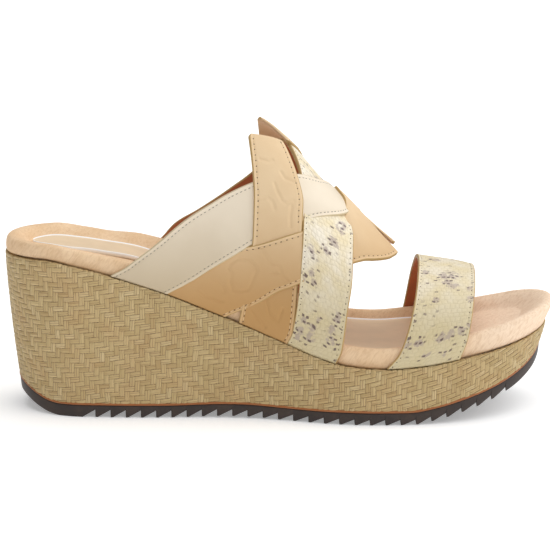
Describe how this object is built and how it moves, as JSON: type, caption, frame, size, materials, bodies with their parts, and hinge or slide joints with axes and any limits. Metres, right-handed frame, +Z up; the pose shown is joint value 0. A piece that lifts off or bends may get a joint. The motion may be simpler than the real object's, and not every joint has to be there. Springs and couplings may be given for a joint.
{
  "type": "wedge slide sandal",
  "caption": "Open-toed wedge slide sandal for the right foot, with interlaced instep straps, a toe strap, a moulded footbed and a woven-wrapped wedge.",
  "frame": {"origin": "on the floor, under the middle of the shoe's bounding box", "axes": "+X from the heel to the toe, +Y to the inner side of the foot, +Z up"},
  "size_m": [0.2554, 0.093, 0.1355],
  "materials": {
    "tread_rubber": "matt, dark brown",
    "woven_wrap": "herringbone weave of natural fibre, satin",
    "suede": "peach suede with a short nap",
    "pad_leather": "smooth, satin",
    "tan_nubuck": "embossed nubuck, matt",
    "scaled_leather": "cream leather printed with small scales, satin",
    "cream_leather": "smooth cream leather, satin",
    "strap_lining": "red-brown lining leather on the straps' inner faces, satin"
  },
  "bodies": {
    "root": {"outsole": "tread_rubber", "wedge": "woven_wrap", "footbed": "suede", "insole": "pad_leather", "upper": "tan_nubuck", "front_strap": "scaled_leather"}
  },
  "joints": []
}
